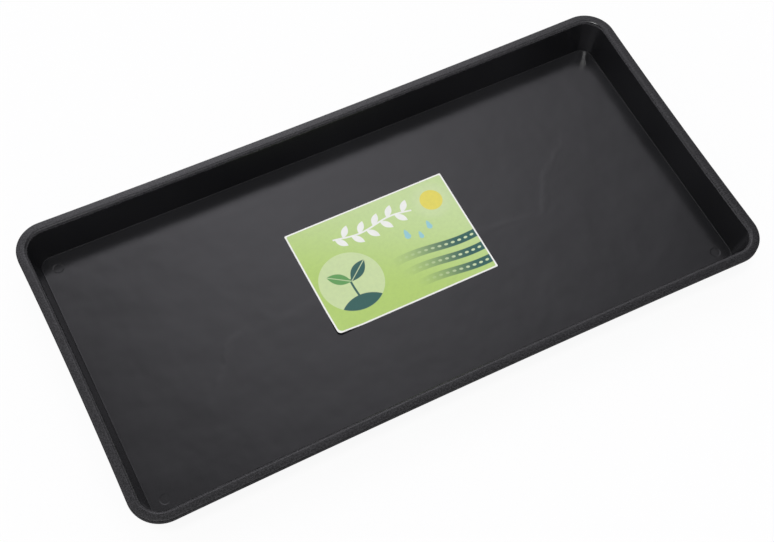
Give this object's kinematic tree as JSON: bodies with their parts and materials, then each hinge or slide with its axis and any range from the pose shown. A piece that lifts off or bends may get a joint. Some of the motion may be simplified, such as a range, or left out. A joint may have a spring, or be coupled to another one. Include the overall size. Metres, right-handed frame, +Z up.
{
  "type": "plant growing tray",
  "caption": "Shallow rectangular moulded tray with leaning walls, round corners and a rolled rim, and a printed label on its floor, for standing or raising plants in.",
  "frame": {"origin": "on the ground under the middle of the base", "axes": "+X along the tray's length, +Y across it, +Z up through the open top"},
  "size_m": [0.79, 0.394, 0.0465],
  "materials": {
    "tray_plastic": "satin black, lightly grained",
    "label_paper": "coated print, lime green"
  },
  "bodies": {
    "root": {"tray": "tray_plastic", "label": "label_paper"}
  },
  "joints": []
}
